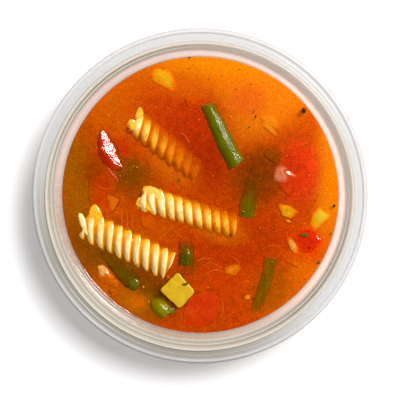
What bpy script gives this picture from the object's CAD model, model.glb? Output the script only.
import math
import random

import bpy
import numpy as np
from mathutils import Matrix, Vector, noise
from mathutils.bvhtree import BVHTree


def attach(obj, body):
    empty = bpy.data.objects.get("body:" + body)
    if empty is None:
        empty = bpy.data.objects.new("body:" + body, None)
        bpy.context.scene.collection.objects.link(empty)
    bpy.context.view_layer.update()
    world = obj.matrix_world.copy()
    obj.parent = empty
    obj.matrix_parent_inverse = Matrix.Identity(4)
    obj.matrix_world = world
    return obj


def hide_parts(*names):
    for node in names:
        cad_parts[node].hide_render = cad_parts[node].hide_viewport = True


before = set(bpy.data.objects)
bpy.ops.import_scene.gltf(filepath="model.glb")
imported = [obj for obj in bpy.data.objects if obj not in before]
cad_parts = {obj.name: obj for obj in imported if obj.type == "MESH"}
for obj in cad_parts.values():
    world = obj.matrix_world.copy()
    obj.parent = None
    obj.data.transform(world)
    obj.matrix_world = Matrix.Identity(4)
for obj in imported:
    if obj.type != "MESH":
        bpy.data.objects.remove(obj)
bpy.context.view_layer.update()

# Minestrone in a translucent tub, seen from almost straight above.
# Metres, +Z up, +X right, +Y away from the viewer.

MM = 0.001
LEVEL = 63.5            # broth surface, mm
CORE_DEPTH = 6.0        # nothing shows below this depth of broth, mm
SOUP_R = 48.8
random.seed(7)
rng = np.random.default_rng(7)


# ------------------------------------------------------------------ helpers
def px(x, y, z=LEVEL):
    """A place on the broth, counted in the photograph's 400-wide frame, in mm."""
    return ((x - 200.1) * 0.3536, (195.4 - y) * 0.3536, z)


def srgb(r, g, b, gain=1.0):
    """0-255 screen colour to linear, with a gain for how strongly it is lit."""
    def lin(c):
        c /= 255.0
        return c / 12.92 if c <= 0.04045 else ((c + 0.055) / 1.055) ** 2.4
    return tuple(min(1.0, lin(c) * gain) for c in (r, g, b))


LIT = 0.62              # screen colour of a matt surface over its own colour


def tone(r, g, b):
    return srgb(r, g, b, LIT)


# ------------------------------------------------------------ node shorthand
class Nodes:
    """Short calls for building a shader."""

    def __init__(self, name):
        self.mat = bpy.data.materials.new(name)
        self.mat.use_nodes = True
        self.tree = self.mat.node_tree
        self.tree.nodes.clear()
        self.out = self.add("ShaderNodeOutputMaterial")
        self._pos = None

    def add(self, kind, **props):
        node = self.tree.nodes.new(kind)
        for key, value in props.items():
            setattr(node, key, value)
        return node

    def put(self, socket, value):
        if isinstance(value, bpy.types.NodeSocket):
            self.tree.links.new(value, socket)
        elif isinstance(value, (tuple, list)) and len(value) == 3 and socket.type == "RGBA":
            socket.default_value = (*value, 1.0)
        else:
            socket.default_value = value

    def math(self, op, a, b=None, c=None, clamp=False):
        node = self.add("ShaderNodeMath", operation=op, use_clamp=clamp)
        for i, v in enumerate((a, b, c)):
            if v is not None:
                self.put(node.inputs[i], v)
        return node.outputs[0]

    def mix(self, fac, a, b, blend="MIX", clamp=True):
        node = self.add("ShaderNodeMix", data_type="RGBA", blend_type=blend,
                        clamp_factor=clamp)
        self.put(node.inputs["Factor"], fac)
        sockets = [s for s in node.inputs if s.type == "RGBA"]
        self.put(sockets[0], a)
        self.put(sockets[1], b)
        return [s for s in node.outputs if s.type == "RGBA"][0]

    def mixf(self, fac, a, b):
        """a + fac * (b - a) for numbers."""
        if isinstance(a, (int, float)) and isinstance(b, (int, float)):
            return self.math("MULTIPLY_ADD", fac, b - a, a)
        return self.math("ADD", a, self.math("MULTIPLY", fac, self.math("SUBTRACT", b, a)))

    def step(self, value, low, high):
        """0 below low, 1 above high, smooth between; works downwards too."""
        node = self.add("ShaderNodeMapRange", interpolation_type="SMOOTHSTEP")
        self.put(node.inputs[0], value)
        node.inputs[1].default_value = low
        node.inputs[2].default_value = high
        return node.outputs[0]

    def place(self):
        """Position in mm."""
        if self._pos is None:
            coord = self.add("ShaderNodeTexCoord")
            scale = self.add("ShaderNodeVectorMath", operation="SCALE")
            self.put(scale.inputs[0], coord.outputs["Object"])
            scale.inputs["Scale"].default_value = 1000.0
            self._pos = scale.outputs[0]
        return self._pos

    def xyz(self, vector=None):
        node = self.add("ShaderNodeSeparateXYZ")
        self.put(node.inputs[0], vector or self.place())
        return node.outputs

    def vec(self, x, y, z):
        node = self.add("ShaderNodeCombineXYZ")
        for i, v in enumerate((x, y, z)):
            self.put(node.inputs[i], v)
        return node.outputs[0]

    def noise(self, scale, detail=2.0, vector=None, rough=0.5, distortion=0.0, dims="3D"):
        node = self.add("ShaderNodeTexNoise", noise_dimensions=dims)
        self.put(node.inputs["Vector"], vector or self.place())
        node.inputs["Scale"].default_value = scale
        node.inputs["Detail"].default_value = detail
        node.inputs["Roughness"].default_value = rough
        node.inputs["Distortion"].default_value = distortion
        return node.outputs[0]

    def cells(self, scale, vector=None, feature="F1", random_=1.0):
        node = self.add("ShaderNodeTexVoronoi", feature=feature)
        self.put(node.inputs["Vector"], vector or self.place())
        node.inputs["Scale"].default_value = scale
        node.inputs["Randomness"].default_value = random_
        return node

    def attr(self, name):
        node = self.add("ShaderNodeAttribute", attribute_name=name)
        return node

    def ramp(self, fac, stops):
        node = self.add("ShaderNodeValToRGB")
        self.put(node.inputs[0], fac)
        elements = node.color_ramp.elements
        while len(elements) > 1:
            elements.remove(elements[-1])
        elements[0].position = stops[0][0]
        elements[0].color = (*stops[0][1], 1.0)
        for at, colour in stops[1:]:
            elements.new(at).color = (*colour, 1.0)
        return node.outputs[0]

    def bump(self, height, distance, strength=1.0, normal=None):
        node = self.add("ShaderNodeBump")
        self.put(node.inputs["Height"], height)
        node.inputs["Distance"].default_value = distance
        node.inputs["Strength"].default_value = strength
        if normal is not None:
            self.put(node.inputs["Normal"], normal)
        return node.outputs[0]

    def principled(self, **inputs):
        node = self.add("ShaderNodeBsdfPrincipled")
        for key, value in inputs.items():
            self.put(node.inputs[key.replace("_", " ")], value)
        return node

    def done(self, shader):
        self.tree.links.new(shader, self.out.inputs["Surface"])
        return self.mat


# --------------------------------------------------------- the broth's colour
# Soft regions of the broth: where it is (photo frame), how large, how turned,
# its colour and how strongly it shows. Later ones lie over earlier ones.
BROTH = (206, 70, 4)
REGIONS = [
    ("top", 205, 90, 100, 34, 0, (246, 124, 5), 0.9),
    ("upper_right", 268, 92, 66, 34, -38, (245, 126, 14), 0.95),
    ("top_band", 216, 60, 74, 15, 4, (246, 136, 6), 0.9),
    ("right_edge", 331, 175, 16, 62, 0, (243, 130, 6), 0.95),
    ("right_low", 318, 262, 26, 40, 25, (238, 112, 4), 0.9),
    ("low_right", 282, 306, 44, 24, 30, (226, 100, 2), 0.9),
    ("top_left", 118, 98, 34, 40, 40, (222, 98, 6), 0.8),
    ("left", 76, 186, 18, 62, -4, (174, 94, 2), 0.95),
    ("centre_red", 200, 142, 30, 48, -12, (170, 35, 4), 0.9),
    ("red_top_left", 178, 112, 46, 30, 15, (204, 54, 8), 0.85),
    ("brown_right", 258, 178, 25, 29, 30, (136, 57, 4), 0.95),
    ("brown_left", 134, 180, 22, 20, 20, (160, 72, 3), 0.85),
    ("dark_low_left", 104, 256, 50, 26, 34, (144, 76, 3), 1.0),
    ("dark_low", 150, 288, 28, 20, 30, (136, 64, 3), 0.95),
    ("low_left_wall", 118, 306, 26, 16, 40, (176, 82, 2), 0.7),
    ("red_low", 232, 285, 36, 34, 0, (214, 66, 2), 0.8),
    ("red_centre_low", 236, 242, 44, 24, 0, (192, 48, 4), 0.75),
    ("under_pasta", 150, 226, 30, 12, 20, (200, 78, 2), 0.6),
    ("olive_left", 130, 174, 14, 14, 0, (130, 72, 2), 0.75),
    ("pasta_glow_upper", 172, 164, 30, 17, 42, (222, 102, 7), 0.85),
    ("pasta_glow_middle", 220, 231, 26, 13, 15, (222, 106, 6), 0.8),
    ("left_red", 92, 172, 13, 15, 0, (160, 64, 3), 0.8),
    ("mid_left_glow", 150, 232, 20, 11, 0, (214, 88, 3), 0.7),
    ("mid_left_glow_b", 110, 207, 15, 12, 0, (212, 90, 3), 0.7),
    ("low_middle_dark", 188, 268, 12, 10, 0, (152, 60, 3), 0.8),
    ("low_right_dark", 270, 290, 17, 24, 20, (160, 80, 4), 0.6),
    ("low_olive", 150, 306, 22, 16, 25, (146, 84, 3), 0.7),
    ("upper_middle_red", 248, 101, 17, 15, 0, (236, 92, 22), 0.7),
    ("top_left_glow", 182, 88, 24, 10, 10, (230, 102, 9), 0.7),
    ("low_left_glow", 134, 303, 15, 9, 25, (208, 112, 8), 0.75),
    ("tomato_glow", 303, 172, 19, 32, 0, (222, 62, 20), 0.9),
    ("tomato_glow_low", 306, 246, 22, 16, 20, (228, 60, 8), 0.7),
    ("carrot_glow", 108, 284, 17, 11, 40, (214, 100, 6), 0.7),
]


def broth_tint(xy):
    """Colour of deep broth at places in mm, as linear rows."""
    x = xy[:, 0] / 0.3536 + 200.1
    y = 195.4 - xy[:, 1] / 0.3536
    colour = np.tile(np.array(tone(*BROTH)), (len(xy), 1))
    for _, cx, cy, rx, ry, turn, rgb, strength in REGIONS:
        a = math.radians(turn)
        dx, dy = x - cx, y - cy
        u = (dx * math.cos(a) + dy * math.sin(a)) / rx
        v = (-dx * math.sin(a) + dy * math.cos(a)) / ry
        d = np.sqrt(u * u + v * v)
        w = strength * (1.0 / (1.0 + np.exp((d - 1.0) * 5.5)))
        colour = colour * (1 - w[:, None]) + np.array(tone(*rgb)) * w[:, None]
    # the side near the lamp lies in the rim's soft shadow, and more light comes
    # through the wall to it
    r = np.hypot(xy[:, 0], xy[:, 1])
    facing = (xy[:, 0] * 0.72 + xy[:, 1] * 0.69) / np.maximum(r, 1e-6)
    near = 1.0 / (1.0 + np.exp(-(r - 38.0) * 0.30))
    colour = colour * (1 + 0.30 * near * np.clip(facing * 0.75 + 0.25, 0, 1))[:, None]
    return colour


def paint(obj):
    """Gives every point the colour of the broth round it."""
    mesh = obj.data
    n = len(mesh.vertices)
    co = np.empty(n * 3)
    mesh.vertices.foreach_get("co", co)
    co = co.reshape(-1, 3) * 1000
    rgba = np.ones((n, 4))
    rgba[:, :3] = broth_tint(co[:, :2])
    layer = mesh.attributes.get("broth") or mesh.attributes.new("broth", "FLOAT_COLOR", "POINT")
    layer.data.foreach_set("color", rgba.ravel())


def put_floats(obj, name, values):
    layer = obj.data.attributes.new(name, "FLOAT", "POINT")
    layer.data.foreach_set("value", np.asarray(values, dtype=np.float32).ravel())


def mesh_object(name, verts, faces, mat=None, smooth=True):
    mesh = bpy.data.meshes.new(name)
    mesh.from_pydata([tuple(c * MM for c in v) for v in verts], [], faces)
    mesh.update()
    if smooth:
        mesh.shade_smooth()
    obj = bpy.data.objects.new(name, mesh)
    bpy.context.scene.collection.objects.link(obj)
    if mat:
        mesh.materials.append(mat)
    return obj


def rings_mesh(name, rings, mat=None, cap=True, closed=True, smooth=True):
    """Joins rings of points, in mm, into a tube with closed ends."""
    n, m = len(rings), len(rings[0])
    verts = [p for ring in rings for p in ring]
    faces = []
    for i in range(n - 1):
        for j in range(m if closed else m - 1):
            k = (j + 1) % m
            faces.append((i * m + j, i * m + k, (i + 1) * m + k, (i + 1) * m + j))
    if cap:
        for at, flip in ((0, True), (n - 1, False)):
            ring = rings[at]
            c = tuple(sum(p[a] for p in ring) / m for a in range(3))
            verts.append(c)
            ci = len(verts) - 1
            for j in range(m):
                k = (j + 1) % m
                a, b = at * m + j, at * m + k
                faces.append((b, a, ci) if flip else (a, b, ci))
    return mesh_object(name, verts, faces, mat, smooth)


def sunk(obj, shade=False):
    """Light in the broth comes from all round: what is sunk in it shades nothing."""
    obj.visible_shadow = shade
    obj.visible_diffuse = False
    return obj


def finish_piece(obj, node=None):
    paint(obj)
    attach(obj, "root")
    if node:
        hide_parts(*( [node] if isinstance(node, str) else node))
    return obj


# ------------------------------------------------------------------ materials
def grain(n, amount=1.0):
    """Fine unevenness of the broth: pulp, oil and spice too small to be a piece."""
    p = n.xyz()
    flat = n.vec(p[0], p[1], 0.0)
    fine = n.noise(3.3, 3.0, flat, 0.75)
    mid = n.noise(0.40, 3.0, flat, 0.6)
    light = n.mixf(n.step(fine, 0.26, 0.76), 1 - 0.48 * amount, 1 + 0.52 * amount)
    light2 = n.mixf(n.step(mid, 0.2, 0.8), 1 - 0.14 * amount, 1 + 0.14 * amount)
    return n.math("MULTIPLY", light, light2), fine, flat


def deep_broth(n):
    """The broth's own colour with its grain, its drift between red and yellow,
    and dots of oil and pulp."""
    light, fine, flat = grain(n)
    broth = n.attr("broth").outputs["Color"]
    dull = n.mixf(n.step(n.xyz(broth)[1], 0.12, 0.02), 0.35, 1.5)
    light = n.math("MULTIPLY_ADD", n.math("SUBTRACT", light, 1.0), dull, 1.0)
    drift = n.noise(1.3, 2.0, flat, 0.6)
    warm = n.mix(n.step(drift, 0.3, 0.7), n.mix(1.0, broth, (1.0, 0.78, 0.8), "MULTIPLY"),
                 n.mix(1.0, broth, (1.0, 1.24, 1.1), "MULTIPLY"))
    deep = n.mix(1.0, warm, light, "MULTIPLY")
    dots = n.cells(1.15, flat)
    pick = n.step(n.xyz(dots.outputs["Color"])[0], 0.66, 0.74)
    dot = n.math("MULTIPLY", n.step(dots.outputs["Distance"], 0.30, 0.12), pick)
    bright = n.mix(1.0, deep, (1.55, 1.75, 1.6), "MULTIPLY")
    bright = n.mix(1.0, bright, (0.030, 0.022, 0.001), "ADD")
    deep = n.mix(n.math("MULTIPLY", dot, 0.75), deep, bright)
    dark = n.cells(0.85, flat)
    pick2 = n.step(n.xyz(dark.outputs["Color"])[1], 0.74, 0.8)
    dot2 = n.math("MULTIPLY", n.step(dark.outputs["Distance"], 0.28, 0.10), pick2)
    deep = n.mix(n.math("MULTIPLY", dot2, 0.5), deep, n.mix(1.0, deep, (0.55, 0.4, 0.4), "MULTIPLY"))
    return deep, light, flat


def lean_up(n, amount):
    """The surface's normal, turned towards straight up by amount: light in the
    broth comes from all round, so a sunk side is lit as if it faced up."""
    geo = n.add("ShaderNodeNewGeometry")
    up = n.add("ShaderNodeMix", data_type="VECTOR")
    n.put(up.inputs["Factor"], amount)
    vecs = [s for s in up.inputs if s.type == "VECTOR" and s.name in ("A", "B")]
    n.put(vecs[0], geo.outputs["Normal"])
    vecs[1].default_value = (0, 0, 1)
    norm = n.add("ShaderNodeVectorMath", operation="NORMALIZE")
    n.put(norm.inputs[0], [s for s in up.outputs if s.type == "VECTOR"][0])
    return norm.outputs[0]


ABSORB = (0.04, 0.42, 2.6)      # how fast the broth takes red, green and blue, per mm


def lit_through(n, shader, colour, share):
    """Adds light from behind, for the far sides of what lies in the broth."""
    through = n.add("ShaderNodeBsdfTranslucent")
    n.put(through.inputs["Color"], n.mix(1.0, colour, n.vec(share, share, share), "MULTIPLY"))
    both = n.add("ShaderNodeAddShader")
    n.put(both.inputs[0], shader)
    n.put(both.inputs[1], through.outputs[0])
    return both.outputs[0]


def fogged(n, own, clarity, film=0.08, reach=0.7, absorb=ABSORB, up=1.7, blur=None, lean=0.0, sides=None):
    """Own colour above the broth. Below it, light loses its blue and then its
    green on the way, and the piece sinks into the broth's own colour. With blur,
    two shares of the way from its middle to its outline, it melts away there."""
    z = n.xyz()[2]
    depth = n.math("SUBTRACT", LEVEL, z)
    under = n.math("MAXIMUM", depth, 0.0)
    over = n.math("MAXIMUM", n.math("MULTIPLY", depth, -1.0), 0.0)
    wet = n.math("MULTIPLY", n.math("EXPONENT", n.math("MULTIPLY", over, -1.0 / reach)), film)
    path = n.math("ADD", under, wet)
    passed = [n.math("EXPONENT", n.math("MULTIPLY", path, -k)) for k in absorb]
    tinted = n.mix(1.0, own, n.vec(*passed), "MULTIPLY")
    fog = n.math("SUBTRACT", 1.0, n.math("EXPONENT", n.math("MULTIPLY", under, -1.0 / clarity)))
    if blur:
        rim = n.step(n.attr("rim").outputs["Fac"], *blur)
        fog = n.math("MAXIMUM", fog, n.math("MULTIPLY", rim, 0.985))
    if sides:
        melt = n.math("MULTIPLY", n.math("MULTIPLY", sides, 0.94), n.step(depth, 0.2, 1.6))
        fog = n.math("MAXIMUM", fog, melt)
    deep, light, flat = deep_broth(n)
    below = n.step(depth, -0.1, 0.25)
    soft_light = n.mixf(0.6, 1.0, light)
    tinted = n.mix(below, tinted, n.mix(1.0, tinted, soft_light, "MULTIPLY"))
    colour = n.mix(fog, tinted, deep)
    return colour, fog, below, lean_up(n, n.math("MAXIMUM", n.math("MULTIPLY", fog, up, clamp=True), lean))


def broth_material():
    n = Nodes("broth_body")
    deep, light, flat = deep_broth(n)
    geo = n.add("ShaderNodeNewGeometry")
    top = n.step(n.xyz(geo.outputs["Normal"])[2], 0.05, 0.4)
    sh = n.principled(Base_Color=deep, Roughness=0.8, Specular_IOR_Level=0.0,
                      Normal=lean_up(n, n.math("MULTIPLY", top, 0.9)))
    return n.done(sh.outputs[0])


def mirror_share(n, straight, normal):
    """How much a clear surface mirrors, the same from both its sides: straight is
    the share seen head on."""
    geo = n.add("ShaderNodeNewGeometry")
    dot = n.add("ShaderNodeVectorMath", operation="DOT_PRODUCT")
    n.put(dot.inputs[0], geo.outputs["Incoming"])
    n.put(dot.inputs[1], normal)
    facing = n.math("ABSOLUTE", dot.outputs["Value"])
    grazing = n.math("POWER", n.math("SUBTRACT", 1.0, facing, clamp=True), 5.0)
    return n.math("MULTIPLY_ADD", grazing, 1.0 - straight, straight, clamp=True)


def skin_material():
    """The clear wet top of the broth: it only mirrors."""
    n = Nodes("broth_skin")
    flat = n.xyz()
    p = n.vec(flat[0], flat[1], 0.0)
    tiny = n.noise(2.6, 3.0, p, 0.7)
    normal = n.bump(tiny, 0.00006, 0.6)
    clear = n.add("ShaderNodeBsdfTransparent")
    gloss = n.add("ShaderNodeBsdfGlossy")
    gloss.inputs["Roughness"].default_value = 0.05
    n.put(gloss.inputs["Normal"], normal)
    mix = n.add("ShaderNodeMixShader")
    n.put(mix.inputs[0], n.math("MINIMUM", mirror_share(n, 0.035, normal), 0.07))
    n.put(mix.inputs[1], clear.outputs[0])
    n.put(mix.inputs[2], gloss.outputs[0])
    return n.done(mix.outputs[0])


# Rings of the tub, counted outwards in mm: colour, and how milky the plastic is.
RINGS = [
    (48.6, (244, 214, 196), 0.52), (49.1, (250, 224, 208), 0.52), (50.6, (250, 222, 208), 0.54),
    (51.0, (246, 214, 204), 0.56), (51.3, (238, 194, 186), 0.60), (51.6, (230, 220, 210), 0.54),
    (51.85, (226, 226, 218), 0.54), (52.1, (234, 222, 170), 0.56), (52.3, (226, 228, 222), 0.54), (52.6, (228, 228, 218), 0.54),
    (52.8, (240, 230, 206), 0.56), (53.1, (246, 230, 204), 0.56), (53.6, (246, 232, 210), 0.56), (53.85, (234, 228, 218), 0.56),
    (54.2, (222, 221, 219), 0.60), (55.5, (222, 221, 219), 0.60), (55.8, (230, 229, 228), 0.60),
    (56.1, (221, 220, 218), 0.60), (56.9, (223, 222, 221), 0.60), (57.3, (238, 236, 240), 0.60),
    (57.8, (240, 238, 240), 0.60), (58.2, (228, 226, 222), 0.60), (58.6, (240, 238, 234), 0.60),
]
# The same on the lower left, where the tub's own shade shows through and its steps
# catch the light.
RINGS_SHADED = [
    (48.6, (208, 182, 160), 0.50), (50.8, (204, 178, 156), 0.52), (51.2, (224, 208, 188), 0.55),
    (51.45, (240, 230, 210), 0.6), (51.65, (194, 200, 204), 0.6), (51.85, (240, 230, 210), 0.6),
    (52.2, (242, 232, 212), 0.6), (52.4, (204, 194, 176), 0.6), (52.6, (240, 230, 208), 0.6),
    (52.85, (250, 240, 220), 0.6), (53.0, (204, 192, 170), 0.6), (53.25, (254, 246, 228), 0.7),
    (53.75, (254, 246, 230), 0.7), (53.95, (150, 142, 124), 0.6), (54.3, (166, 158, 144), 0.6),
    (55.5, (168, 161, 148), 0.6), (55.7, (206, 200, 190), 0.6), (55.9, (172, 165, 151), 0.6),
    (56.8, (172, 166, 156), 0.6), (57.15, (222, 219, 226), 0.6), (57.55, (228, 226, 234), 0.6),
    (57.85, (166, 160, 150), 0.6), (58.2, (164, 154, 132), 0.6), (58.55, (238, 234, 228), 0.6),
]
RING_LOW, RING_HIGH = 48.0, 59.0


def plastic_material():
    n = Nodes("tub_plastic_fine")
    p = n.xyz()
    r = n.math("SQRT", n.math("ADD", n.math("MULTIPLY", p[0], p[0]), n.math("MULTIPLY", p[1], p[1])))
    across = n.math("DIVIDE", n.math("SUBTRACT", r, RING_LOW), RING_HIGH - RING_LOW)
    stops = [((at - RING_LOW) / (RING_HIGH - RING_LOW), srgb(*c)) for at, c, _ in RINGS]
    shaded_stops = [((at - RING_LOW) / (RING_HIGH - RING_LOW), srgb(*c)) for at, c, _ in RINGS_SHADED]
    shade = n.math("ADD", n.math("MULTIPLY", p[0], -0.5 / 55), n.math("MULTIPLY", p[1], -0.87 / 55))
    shade = n.step(shade, 0.15, 0.90)
    ring_colour = n.mix(shade, n.ramp(across, stops), n.ramp(across, shaded_stops))
    milk_stops = [((at - RING_LOW) / (RING_HIGH - RING_LOW), (m, m, m)) for at, _, m in RINGS]
    milk = n.xyz(n.ramp(across, milk_stops))[0]
    high = n.step(p[2], 62.6, 63.6)
    cloudy = n.noise(0.10, 3.0)
    plain = n.mix(n.step(cloudy, 0.3, 0.7), srgb(228, 227, 224), srgb(236, 235, 232))
    colour = n.mix(high, plain, ring_colour)
    milk = n.mixf(high, 0.22, milk)
    milk = n.math("MULTIPLY", milk, n.mixf(n.step(cloudy, 0.2, 0.8), 0.92, 1.08), clamp=True)
    # broth that ran back down the wall on the side it was tipped to
    turn = n.math("ARCTAN2", p[1], p[0])
    runs = n.noise(1.0, 3.0, n.vec(n.math("MULTIPLY", turn, 46.0), n.math("MULTIPLY", p[2], 0.5), 0.0), 0.6)
    side = n.math("ADD", n.math("MULTIPLY", p[0], -0.0135), n.math("MULTIPLY", p[1], -0.0135))
    wet = n.math("MULTIPLY", n.step(side, 0.45, 0.85), n.step(p[2], 67.6, 66.4))
    wet = n.math("MULTIPLY", n.math("MULTIPLY", wet, high), n.step(r, 53.0, 52.2))
    streak = n.math("MULTIPLY", wet, n.step(runs, 0.42, 0.62))
    colour = n.mix(n.math("MULTIPLY", streak, 0.55), colour, srgb(206, 164, 140))
    normal = n.bump(n.math("MULTIPLY", n.math("MULTIPLY", wet, runs), 6.0), 0.00003, 0.5)

    clear = n.add("ShaderNodeBsdfTransparent")
    clear.inputs["Color"].default_value = (0.86, 0.86, 0.855, 1.0)
    # light spreads inside the milky wall, so both its sides are about as bright
    body = n.principled(Base_Color=n.mix(1.0, colour, n.mix(shade, n.mix(n.math("MULTIPLY", n.step(n.math("MULTIPLY", p[0], 0.02), 0.45, 0.92), n.step(r, 52.2, 51.2)), (0.75, 0.75, 0.75), (0.95, 0.93, 0.90)), (0.80, 0.80, 0.80)), "MULTIPLY"), Roughness=0.5,
                        Specular_IOR_Level=0.0, Normal=lean_up(n, n.mixf(high, 0.6, 0.96)))
    geo = n.add("ShaderNodeNewGeometry")
    steep = n.math("SUBTRACT", 1.0, n.math("ABSOLUTE", n.xyz(geo.outputs["Normal"])[2]))
    glow = lit_through(n, body.outputs[0], colour, n.math("MULTIPLY", n.step(steep, 0.02, 0.8), n.mixf(shade, 0.30, 0.10)))
    mixed = n.add("ShaderNodeMixShader")
    n.put(mixed.inputs[0], milk)
    n.put(mixed.inputs[1], clear.outputs[0])
    n.put(mixed.inputs[2], glow)
    gloss = n.add("ShaderNodeBsdfGlossy")
    n.put(gloss.inputs["Roughness"], n.mixf(wet, 0.24, 0.12))
    n.put(gloss.inputs["Normal"], normal)
    out = n.add("ShaderNodeMixShader")
    n.put(out.inputs[0], n.math("MINIMUM", n.math("MULTIPLY", mirror_share(n, 0.04, normal), 0.6), 0.10))
    n.put(out.inputs[1], mixed.outputs[0])
    n.put(out.inputs[2], gloss.outputs[0])
    return n.done(out.outputs[0])


def pasta_material(name, clarity, melt, near=0.45):
    n = Nodes(name)
    rad = n.attr("rad").outputs["Fac"]
    blotch = n.noise(0.55, 3.0)
    fine = n.noise(3.2, 3.0)
    cream = n.mix(n.step(blotch, 0.35, 0.7), srgb(255, 234, 182, 0.86), srgb(253, 216, 140, 0.84))
    gold = n.mix(blotch, srgb(246, 162, 12, 0.72), srgb(236, 138, 4, 0.72))
    own = n.mix(n.step(rad, 0.81, 0.985), gold, cream)
    # soup has soaked into the side that lies in it
    soaked = n.step(n.attr("side").outputs["Fac"], 0.10, 0.80)
    own = n.mix(n.math("MULTIPLY", soaked, 0.75), own, n.mix(blotch, srgb(254, 192, 52, 0.84), srgb(250, 168, 18, 0.84)))
    speck = n.cells(0.45)
    pick = n.step(n.xyz(speck.outputs["Color"])[0], 0.88, 0.92)
    spot = n.math("MULTIPLY", n.step(speck.outputs["Distance"], 0.16, 0.07), pick)
    own = n.mix(n.math("MULTIPLY", spot, 0.8), own, tone(226, 130, 30))
    side = n.attr("side").outputs["Fac"]
    edge = n.math("MAXIMUM", n.step(side, near, 1.0), n.math("MULTIPLY", n.step(side, -near, -1.0), melt))
    colour, fog, below, up = fogged(n, own, clarity, sides=edge, film=0.34, reach=1.3, absorb=(0.0, 0.17, 1.5), up=1.9, lean=0.38)
    dents = n.noise(1.5, 2.0)
    normal = n.bump(n.math("ADD", dents, n.math("MULTIPLY", fine, 0.25)), 0.00004, 0.7, up)
    sh = n.principled(Base_Color=colour, Roughness=0.10, Normal=normal,
                      Subsurface_Weight=0.4, Subsurface_Scale=0.0012)
    sh.inputs["Subsurface Radius"].default_value = (1.0, 0.55, 0.2)
    n.put(sh.inputs["Specular IOR Level"], n.mixf(below, 0.9, 0.0))
    return n.done(lit_through(n, sh.outputs[0], colour, n.math("MULTIPLY", below, 0.32)))


def veg_material(name, light, dark, clarity=2.0, scale=0.5, bump=0.0001, rough=0.28,
                 film=0.08, fibre=None, face=None, sss=0.15, contrast=(0.3, 0.7), shine=0.5,
                 absorb=ABSORB, reach=0.7, blur=None, crumple=0.0, creases=1.4, coat=0.0, lit=0.38):
    """A cut vegetable: two tones of flesh, grain or fibres, wet above the broth."""
    n = Nodes(name)
    vector = None
    if fibre:
        along = n.attr("along").outputs["Fac"]
        around = n.attr("around").outputs["Fac"]
        vector = n.vec(n.math("MULTIPLY", along, fibre[0]), n.math("MULTIPLY", around, fibre[1]), 0.0)
    coarse = n.noise(scale, 3.0, vector, 0.6)
    fine = n.noise(scale * 5.5, 3.0, None, 0.6)
    own = n.mix(n.step(coarse, *contrast), tone(*dark), tone(*light))
    own = n.mix(0.35, own, n.mix(n.step(fine, 0.3, 0.7), tone(*dark), tone(*light)))
    if face:
        cut = n.attr("cut").outputs["Fac"]
        own = n.mix(cut, own, n.mix(n.step(fine, 0.35, 0.65), tone(*face[0]), tone(*face[1])))
    colour, fog, below, up = fogged(n, own, clarity, film=film, absorb=absorb, reach=reach, blur=blur)
    dents = n.noise(1.7, 2.0, None, 0.6)
    if fibre:
        lines = n.noise(1.0, 2.0, n.vec(n.math("MULTIPLY", along, 0.35), n.math("MULTIPLY", around, 2.2), 0.0))
        dents = n.math("ADD", dents, n.math("MULTIPLY", lines, 0.6))
    normal = n.bump(dents, bump, 0.8, up)
    if crumple:
        normal = n.bump(n.noise(creases, 1.0, None, 0.4, 0.6), crumple, 0.9, normal)
    sh = n.principled(Base_Color=colour, Roughness=rough, Normal=normal,
                      Subsurface_Weight=sss, Subsurface_Scale=0.001)
    sh.inputs["Subsurface Radius"].default_value = (1.0, 0.5, 0.2)
    n.put(sh.inputs["Specular IOR Level"], n.mixf(below, shine, 0.0))
    if coat:
        n.put(sh.inputs["Coat Weight"], n.mixf(below, coat, 0.0))
        n.put(sh.inputs["Coat Normal"], normal)
        sh.inputs["Coat IOR"].default_value = 1.9
        sh.inputs["Coat Roughness"].default_value = 0.05
    return n.done(lit_through(n, sh.outputs[0], colour, n.math("MULTIPLY", n.math("MULTIPLY", fog, below), lit)))


# ------------------------------------------------------------------ the tub
WALL = 1.05


def wall_radius(z):
    return 43.3 + (z - 4.6) / (62.8 - 4.6) * (SOUP_R - 0.05 - 43.3)


def smooth_profile(points, per=4):
    """Rounds a chain of (r, z) points with short curves through them."""
    out = []
    n = len(points)
    for i in range(n - 1):
        p0 = Vector(points[max(i - 1, 0)])
        p1, p2 = Vector(points[i]), Vector(points[i + 1])
        p3 = Vector(points[min(i + 2, n - 1)])
        # a centripetal spline doesn't overshoot on uneven spacing
        t0 = 0.0
        t1 = t0 + max((p1 - p0).length, 1e-6) ** 0.5
        t2 = t1 + max((p2 - p1).length, 1e-6) ** 0.5
        t3 = t2 + max((p3 - p2).length, 1e-6) ** 0.5
        steps = max(1, min(per, int((p2 - p1).length / 0.12)))
        for k in range(steps):
            t = t1 + (t2 - t1) * k / steps
            if (p1 - p0).length < 1e-6 or (p3 - p2).length < 1e-6:
                out.append(tuple(p1.lerp(p2, k / steps)))
                continue
            a1 = p0 * ((t1 - t) / (t1 - t0)) + p1 * ((t - t0) / (t1 - t0))
            a2 = p1 * ((t2 - t) / (t2 - t1)) + p2 * ((t - t1) / (t2 - t1))
            a3 = p2 * ((t3 - t) / (t3 - t2)) + p3 * ((t - t2) / (t3 - t2))
            b1 = a1 * ((t2 - t) / (t2 - t0)) + a2 * ((t - t0) / (t2 - t0))
            b2 = a2 * ((t3 - t) / (t3 - t1)) + a3 * ((t - t1) / (t3 - t1))
            out.append(tuple(b1 * ((t2 - t) / (t2 - t1)) + b2 * ((t - t1) / (t2 - t1))))
    out.append(tuple(points[-1]))
    return out


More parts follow.
